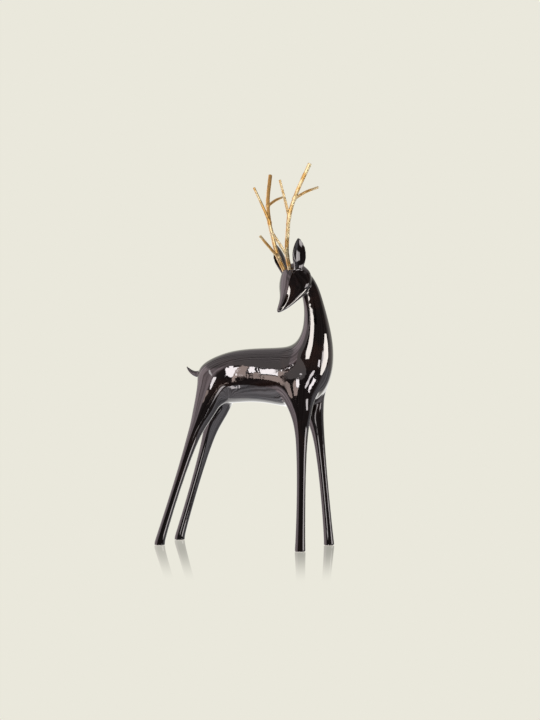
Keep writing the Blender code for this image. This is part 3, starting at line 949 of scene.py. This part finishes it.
# A soft light that only the antlers catch: its middle in the layout, how wide and high it is, all
# in parts, and how strong it is. It faces the antlers' middle.
ANTLER_LIGHT_PLACE = BACKWARD * 150 + RIGHTWARD * 25 + UPWARD * 385
ANTLER_LIGHT_SIZE = 170
ANTLER_LIGHT_STRENGTH = 1.7
ANTLERS_MIDDLE = RIGHTWARD * 42 + UPWARD * 335

# Light card colours
IVORY = (1.0, 0.98, 0.9)
WHITE = (1.0, 0.98, 0.97)
TAN = (1.0, 0.82, 0.73)
PEARL = (1.0, 0.93, 0.90)
# A highlight is a light card's mirror image in the glaze. It is laid out by its outline in the
# picture, in pixels across and down. The card hangs at the stated distance in parts, square to the
# mirrored ray, with its colour and strength.
Highlight = namedtuple("Highlight", "name distance colour strength outline")
HIGHLIGHTS = (
    Highlight("neck_strip", 60, IVORY, 9.5, (
        (308.2, 303), (310.3, 303), (312.6, 311), (314, 322), (313.6, 335), (312.4, 346),
        (310.4, 354), (309, 359), (305.6, 359), (306, 352), (308, 345), (309.8, 335), (310.6, 322),
        (310, 311),
    )),
    Highlight("chest_strip", 60, IVORY, 9, (
        (324.6, 334), (326.2, 334), (327.8, 345), (328, 357), (326.6, 364), (324.6, 370),
        (322, 375), (320, 375), (321.3, 367), (323.4, 358), (323.9, 345),
    )),
    Highlight("neck_dash", 120, WHITE, 8, ((318.6, 360), (320.2, 360), (319.4, 367), (317.8, 367))),
    Highlight("shoulder_oval", 120, WHITE, 10, (
        (296, 380), (299, 380.3), (299.1, 385), (298, 387), (296, 387),
    )),
    Highlight("shoulder_tail", 120, TAN, 3, (
        (294, 380.5), (295.7, 381), (295.9, 387.6), (298, 388), (297.2, 396), (294, 396),
    )),
    Highlight("shoulder_dot", 120, WHITE, 6, ((300, 373), (302, 373), (302, 375), (300, 375))),
    Highlight("shoulder_slope_front", 80, WHITE, 7, (
        (305, 386), (308.6, 378.5), (311, 373.4), (312.8, 371), (314.8, 371), (313.2, 374.8),
        (310.4, 378.6), (308.2, 384), (306, 388), (305, 388),
    )),
    Highlight("shoulder_slope_rear", 80, WHITE, 10, (
        (308, 391.5), (309.6, 385.4), (312, 382), (313.3, 378), (316.2, 379.2), (315, 382.4),
        (312, 386.8), (309.6, 391.5),
    )),
    Highlight("shoulder_board", 150, TAN, 2.5, (
        (286, 381), (288.6, 382.4), (291, 390), (293, 398), (291.4, 399), (288, 394), (286.2, 389),
    )),
    Highlight("flank_window", 150, WHITE, 10, (
        (226, 367.6), (230, 368), (230, 366), (233, 366), (233, 368), (237.6, 367), (239, 368.4),
        (238.4, 374), (232.6, 377), (227, 376),
    )),
    Highlight("flank_board_rear", 150, TAN, 2.8, (
        (239, 366.5), (241.6, 367), (243, 364.8), (245, 366), (249.4, 367), (249, 374),
        (249.6, 378), (240, 377),
    )),
    Highlight("flank_sill", 80, TAN, 3.4, ((234, 375.5), (237, 375.5), (236.4, 382), (235, 382))),
    Highlight("flank_pane_middle", 150, WHITE, 10, (
        (249.4, 369), (251.4, 366.6), (256.6, 367.4), (256.4, 371.6), (253, 373.4), (249.2, 372.2),
    )),
    Highlight("flank_board_middle", 150, TAN, 2.6, (
        (251.6, 373.7), (256, 372.4), (260.6, 373), (261.6, 378.6), (252.8, 379),
    )),
    Highlight("flank_pane_front", 150, WHITE, 10, (
        (260, 368.6), (264, 369.6), (268, 368.8), (279, 370), (278.6, 376.4), (273, 374.8),
        (268, 374), (261.4, 374),
    )),
    Highlight("flank_board_front", 150, TAN, 2.8, (
        (262.6, 375), (268, 375), (273, 375.8), (279.2, 377.4), (280, 370.6), (286, 372.4),
        (284.6, 384), (274, 381), (263, 379.6),
    )),
    Highlight("belly_glints", 60, WHITE, 5, (
        (235, 387.6), (237, 385), (241, 385.4), (239, 387.8), (236, 389),
    )),
    Highlight("thigh_lens", 60, WHITE, 9, (
        (213.4, 377.4), (216, 377.4), (215, 381), (212.6, 386), (210, 390), (210, 385.4),
        (212, 380.6),
    )),
    Highlight("thigh_tail", 60, TAN, 2.2, (
        (206.6, 390), (208.2, 391), (207.6, 394), (205.6, 396.4), (203.6, 402), (202.4, 402.6),
        (204.4, 397),
    )),
    Highlight("thigh_dash", 80, WHITE, 4, (
        (208.8, 370), (210, 370), (212.2, 375.4), (211.2, 376), (209.4, 373.4),
    )),
    Highlight("leg_top_line", 60, WHITE, 6, ((306, 399), (308, 399), (307.8, 410), (306.2, 410))),
    Highlight("shoulder_haze", 220, PEARL, 0.62, (
        (273, 364), (281, 366), (287, 371), (287, 379), (300, 380), (306.4, 375), (304.4, 364),
        (299, 356), (290, 357), (281, 360),
    )),
)


def make_camera():
    camera = bpy.data.objects.new("camera", bpy.data.cameras.new("camera"))
    bpy.context.scene.collection.objects.link(camera)
    camera.location = FIGURE @ (CAMERA_PLACE * PART)
    camera.rotation_euler = (math.radians(90), 0, VIEW_ANGLE)
    camera.data.lens = CAMERA_LENS
    bpy.context.scene.camera = camera


def glowing_material(name, colour, strength):
    """A light card's glow. The floor's polish looks through the card."""
    material = bpy.data.materials.new(name)
    material.use_nodes = True
    shading = Shading(material.node_tree)
    glow = shading.add("ShaderNodeEmission", {"Color": colour, "Strength": strength}, "Emission")
    clear = shading.add("ShaderNodeBsdfTransparent", {}, "BSDF")
    for_polish = shading.add("ShaderNodeLightPath", {}, "Is Singular Ray")
    both = shading.add("ShaderNodeMixShader", {0: for_polish, 1: glow, 2: clear}, "Shader")
    shading.add("ShaderNodeOutputMaterial", {"Surface": both})
    return material


def stage_sheet(name, corners, material, camera_sees=False, mirror_sees=True):
    """A flat sheet of the stage. Only the camera sees some, and only the mirroring glaze others."""
    mesh = bpy.data.meshes.new(name)
    mesh.from_pydata(corners, [], [range(len(corners))])
    mesh.materials.append(material)
    sheet = bpy.data.objects.new(name, mesh)
    bpy.context.scene.collection.objects.link(sheet)
    sheet.visible_camera = camera_sees
    sheet.visible_glossy = sheet.visible_diffuse = mirror_sees
    sheet.visible_shadow = False
    return sheet


def make_highlights(mirror):
    """The light cards, each hung where the casting mirrors it to the camera in its outline."""
    cards = []
    for highlight in HIGHLIGHTS:
        rays = [mirror.reflect(across, down) for across, down in highlight.outline]
        middle = sum((place for place, _ in rays), Vector()) / len(rays)
        facing = sum((way for _, way in rays), Vector()).normalized()
        centre = middle + facing * highlight.distance * PART
        corners = []
        for place, way in rays:
            corners.append(place + way * (centre - place).dot(facing) / way.dot(facing))
        material = glowing_material(highlight.name, highlight.colour, highlight.strength)
        cards.append(stage_sheet(highlight.name, corners, material))
    return cards


def make_antler_light():
    """A square soft light that faces the antlers."""
    middle = FIGURE @ (ANTLER_LIGHT_PLACE * PART)
    facing = (FIGURE @ (ANTLERS_MIDDLE * PART) - middle).normalized()
    across = facing.cross(UPWARD).normalized() * ANTLER_LIGHT_SIZE / 2 * PART
    up = across.cross(facing).normalized() * ANTLER_LIGHT_SIZE / 2 * PART
    corners = [middle - across - up, middle + across - up, middle + across + up, middle - across + up]
    material = glowing_material("antler_light", IVORY, ANTLER_LIGHT_STRENGTH)
    return stage_sheet("antler_light", corners, material)


def light_only(name, lights, pieces):
    """Makes these lights show on these pieces alone."""
    catchers = bpy.data.collections.new(name)
    for piece in pieces:
        catchers.objects.link(piece)
    for light in lights:
        light.light_linking.receiver_collection = catchers


def make_floor():
    """The pale floor, which the mirroring glaze looks through to the painted surroundings. Its
    polish mirrors the hooves faintly, and fades away from them. It has no roughness at all, so the
    surroundings can tell it from the glaze and show it paper."""
    material, shading, place = new_material("polished_floor")
    ends = {0: place, 1: SHINE_CENTRE * PART}
    reach = shading.add("ShaderNodeVectorMath", ends, "Value", operation="DISTANCE")
    polished = shading.step_up(reach, SHINE_END * PART, SHINE_START * PART)
    mirrored = shading.add("ShaderNodeFresnel", {"IOR": FLOOR_IOR}, "Fac")
    share = shading.math("MULTIPLY", polished, mirrored)
    pale = shading.add("ShaderNodeEmission", {"Color": PAPER, "Strength": 1.0}, "Emission")
    polish = shading.add("ShaderNodeBsdfGlossy", {"Color": (1, 1, 1), "Roughness": 0.0}, "BSDF")
    both = shading.add("ShaderNodeMixShader", {0: share, 1: pale, 2: polish}, "Shader")
    shading.add("ShaderNodeOutputMaterial", {"Surface": both})
    corners = []
    for aside, back in ((-1, 1), (1, 1), (1, -1), (-1, -1)):
        corners.append((RIGHTWARD * aside + BACKWARD * back) * FLOOR_REACH * PART)
    stage_sheet("pale_floor", corners, material, camera_sees=True, mirror_sees=False)


def make_world():
    """The surroundings that the glaze mirrors, by direction. The camera and the floor's polish see
    pale paper there."""
    world = bpy.data.worlds.new("studio")
    bpy.context.scene.world = world
    world.use_nodes = True
    shading = Shading(world.node_tree)
    direction = shading.add("ShaderNodeTexCoord", {}, "Generated")

    def share_between(value, limits, softness):
        start, end = limits
        rise = shading.step_up(value, start - softness, start + softness)
        fall = shading.step_up(value, end + softness, end - softness)
        return shading.math("MULTIPLY", rise, fall)

    degrees = 180 / math.pi
    aside, back, up = (shading.along(direction, axis) for axis in (RIGHTWARD, BACKWARD, UPWARD))
    azimuth = shading.math("MULTIPLY", shading.math("ARCTAN2", aside, back), degrees)
    elevation = shading.math("MULTIPLY", shading.math("ARCSINE", up), degrees)
    colour = DARK_ROOM
    for zone in ZONES:
        wide = share_between(azimuth, zone.azimuths, zone.softness)
        high = share_between(elevation, zone.elevations, zone.softness)
        colour = shading.mixed(shading.math("MULTIPLY", wide, high), colour, zone.colour)
    place = shading.add("ShaderNodeCombineXYZ", {
        "X": shading.math("DIVIDE", azimuth, STREAK_WIDTH),
        "Y": shading.math("DIVIDE", elevation, STREAK_HEIGHT),
    }, "Vector")
    inputs = {"Vector": place, "Scale": 1.0, "Detail": 3.0, "Roughness": 0.6}
    field = shading.add("ShaderNodeTexNoise", inputs, "Fac")
    streaks = shading.step_up(field, *STREAK_FIELD, *STREAK_SHARES)
    paper_share = shading.step_up(shading.math("ABSOLUTE", azimuth), *PLAIN_PAPER)
    streaks = shading.add("ShaderNodeMix", {"Factor": paper_share, "A": streaks, "B": 1.0}, "Result")
    for_camera = shading.add("ShaderNodeLightPath", {}, "Is Camera Ray")
    for_polish = shading.add("ShaderNodeLightPath", {}, "Is Singular Ray")
    plain = shading.math("MAXIMUM", for_camera, for_polish)
    colour = shading.mixed(plain, colour, PAPER)
    strength = shading.add("ShaderNodeMix", {"Factor": plain, "A": streaks, "B": 1.0}, "Result")
    inputs = {"Color": colour, "Strength": strength}
    background = shading.add("ShaderNodeBackground", inputs, "Background")
    shading.add("ShaderNodeOutputWorld", {"Surface": background})


def main():
    bpy.context.scene.view_settings.view_transform = "Standard"
    make_camera()
    make_world()
    make_floor()
    patches = make_patches_effect()
    hand_work = make_hand_work_effect()
    casting, mirror = make_casting(make_glaze(patches, hand_work))
    cards = make_highlights(mirror)
    gold = make_gold(patches, hand_work)
    left = make_antler("cast_antler_left", 1, gold, "antler_left")
    right = make_antler("cast_antler_right", -1, gold, "antler_right")
    light_only("casting", cards, (casting,))
    light_only("antlers", [make_antler_light()], (left, right))


main()
